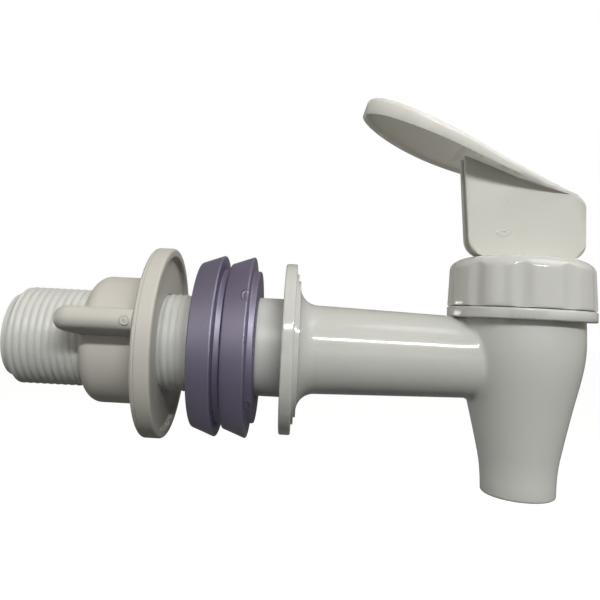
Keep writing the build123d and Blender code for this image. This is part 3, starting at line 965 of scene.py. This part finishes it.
cap_sizes = {
    "Centre X": SPOUT_X,
    "Foot": skirt_foot,
    "Foot Radius": CAP_RADIUS,
    "Lean": tan(CAP_DRAFT),
    "Count": float(HOLLOW_COUNT),
    "Depth": HOLLOW_DENT,
    "Half Width": HOLLOW_HALF_WIDTH,
    "First Turn": FIRST_HOLLOW_DEGREES / 360,
}
grow(fluted_cap, hollow_tree, cap_sizes, body_plastic)
fluted_cap.data.set_sharp_from_angle(angle=CAP_SHARP_FROM)
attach(fluted_cap, "bonnet")
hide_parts("cap")

# %% [markdown]
# ## The lever
# The lever's tray is thin and lets light through, and its outside wall leans in a little
# towards the bottom, so that it comes out of the mould. Only its top edge then catches the
# lamp, as a fine line. The hollow below is shallow up to the tip. A new tray could be lofted,
# but then the web and its sockets would have to be fitted to it again. A merged copy of the
# solid keeps them, and gets this lean and this shallow hollow point by point, in the tray's
# own directions: u along it, y across it and w out of its face. Its large flat faces set the
# normals, which keeps them flat next to their small round edges.

# %% The tray's own directions and its bent faces
TRAY_ROOT = Vector((54.3, 0, 32.82)) * MM
TRAY_SLOPE = radians(23.6)
TRAY_LENGTH = 43.1 * MM
TRAY_SAG = 1.2 * MM
TRAY_SKIN = 1.4 * MM

tray_along = Vector((-cos(TRAY_SLOPE), 0, sin(TRAY_SLOPE)))
tray_up = Vector((sin(TRAY_SLOPE), 0, cos(TRAY_SLOPE)))
tray_bend = ((TRAY_LENGTH / 2) ** 2 + TRAY_SAG**2) / (2 * TRAY_SAG)


def tray_face(u, skin_below):
    bend = tray_bend + skin_below
    return tray_bend - TRAY_SAG - sqrt(bend**2 - (u - TRAY_LENGTH / 2) ** 2)


print("the tray is bent to a radius of", round(tray_bend / MM, 1), "mm")

# %% The foot of the rim, an arc through three depths
RIM_FOOT = (
    (0.0, -0.8 * MM),
    (TRAY_LENGTH / 2, -3.5 * MM),
    (TRAY_LENGTH, -3.75 * MM),
)


def rim_foot(u):
    (u0, w0), (u1, w1), (u2, w2) = RIM_FOOT
    first = w0 * (u - u1) * (u - u2) / ((u0 - u1) * (u0 - u2))
    second = w1 * (u - u0) * (u - u2) / ((u1 - u0) * (u1 - u2))
    third = w2 * (u - u0) * (u - u1) / ((u2 - u0) * (u2 - u1))
    return first + second + third


print("rim foot at mid length:", round(rim_foot(TRAY_LENGTH / 2) / MM, 2), "mm")

# %% The outline of the tray, seen from above
WIDE_AT, TIP_REACH, WIDE_HALF = 27.8 * MM, 15.3 * MM, 9.2 * MM
HALF_WIDTHS = (
    (0.0, 2.1 * MM),
    (7.0 * MM, 4.45 * MM),
    (17.0 * MM, 7.3 * MM),
    (WIDE_AT, WIDE_HALF),
)
RIM_WALL = 1.1 * MM


def half_width(u):
    for (start, narrow), (stop, wide) in zip(HALF_WIDTHS, HALF_WIDTHS[1:]):
        if u <= stop:
            return narrow + (wide - narrow) * (u - start) / (stop - start)
    return WIDE_HALF


def is_outer(u, y):
    middle_of_wall = RIM_WALL / 2
    if u < WIDE_AT:
        return abs(y) > half_width(u) - middle_of_wall
    across = (u - WIDE_AT) / (TIP_REACH - middle_of_wall)
    return Vector((across, y / (WIDE_HALF - middle_of_wall))).length > 1


def inward(u, y):
    if u < WIDE_AT:
        return Vector((0, -1 if y > 0 else 1))
    return -Vector(((u - WIDE_AT) / TIP_REACH**2, y / WIDE_HALF**2)).normalized()


print("the tray is widest at", round(WIDE_AT / MM, 1), "mm from its root")

# %% Lean the rim in, make the hollow shallow and run the root out
HOLLOW_DEPTH = 0.65 * MM
WALL_LEAN = tan(radians(6.5))
EDGE_RADIUS = 1.0 * MM
ROOT_STRETCH = 1.5 * MM
ROOT_BLEND = 3.0 * MM
ROOT_FOOT = -0.36 * MM
NEAR = 0.06 * MM


def reshaped(u, y, w):
    inside_tray = 0 < u < TRAY_LENGTH
    if inside_tray and abs(w - tray_face(u, TRAY_SKIN)) < NEAR:
        return u, y, min(w, rim_foot(u) + HOLLOW_DEPTH)
    if inside_tray and abs(w - rim_foot(u)) < NEAR and is_outer(u, y):
        wall = tray_face(u, 0) - w - EDGE_RADIUS
        shift = inward(u, y) * WALL_LEAN * max(wall, 0)
        return u + shift.x, y + shift.y, w
    if -NEAR < u < ROOT_BLEND and w > ROOT_FOOT:
        return u - ROOT_STRETCH * (1 - max(u, 0) / ROOT_BLEND), y, w
    return u, y, w


lever_skin = merged_copy("lever_skin", nodes["lever"])
moved = 0
for vertex in lever_skin.data.vertices:
    offset = vertex.co - TRAY_ROOT
    before = (offset.dot(tray_along), vertex.co.y, offset.dot(tray_up))
    after = reshaped(*before)
    if after != before:
        vertex.co = TRAY_ROOT + tray_along * after[0] + tray_up * after[2]
        vertex.co.y = after[1]
        moved += 1
print("moved", moved, "points of the lever")

# %% Thin tray, thicker web
WEB_HALF = 2.15 * MM
LEVER_SHARP_FROM = radians(32)
FLAT_FACE_WEIGHT = 100

dress(lever_skin, tray_plastic)
lever_skin.data.materials.append(web_plastic)
web_faces = 0
for face in lever_skin.data.polygons:
    offset = face.center - TRAY_ROOT
    u, w = offset.dot(tray_along), offset.dot(tray_up)
    below = w < (rim_foot(u) if 0 < u < TRAY_LENGTH else ROOT_FOOT)
    if abs(face.center.y) < WEB_HALF and below:
        face.material_index = 1
        web_faces += 1
    face.use_smooth = True
lever_skin.data.set_sharp_from_angle(angle=LEVER_SHARP_FROM)
flat_faces_first = lever_skin.modifiers.new("flat_faces_first", "WEIGHTED_NORMAL")
flat_faces_first.keep_sharp = True
flat_faces_first.weight = FLAT_FACE_WEIGHT
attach(lever_skin, "lever_body")
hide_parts("lever")
print("web faces:", web_faces, "of", len(lever_skin.data.polygons))

# %% [markdown]
# ## The spring and the valve cup
# When the lever lifts the stem, the steel spring is pressed against the inside of the cap and
# the wall of the silicone cup folds up. Both are held at the top and follow the stem below.
# Stiff copies would cut into the stem. Here each is a merged copy of its solid: the
# spring's hangs from the spring carrier, and the cup's is baked in place.

# %% A merged copy of the spring
return_spring = merged_copy("return_spring", nodes["spring"])
dress(return_spring, spring_steel)
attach(return_spring, "spring_carrier")
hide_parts("spring")
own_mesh(return_spring)

# %% A merged copy of the valve cup
valve_cup = merged_copy("valve_cup", nodes["seat_cup"])
dress(valve_cup, seat_rubber)
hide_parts("seat_cup")
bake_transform(valve_cup)

# %% [markdown]
# ## The view transform
# Blender may dress the object but not resize it. The box of the solids was taken right after
# loading. Last, the picture gets the Standard view transform.

# %% Finish with the Standard view transform
bpy.context.scene.view_settings.view_transform = "Standard"
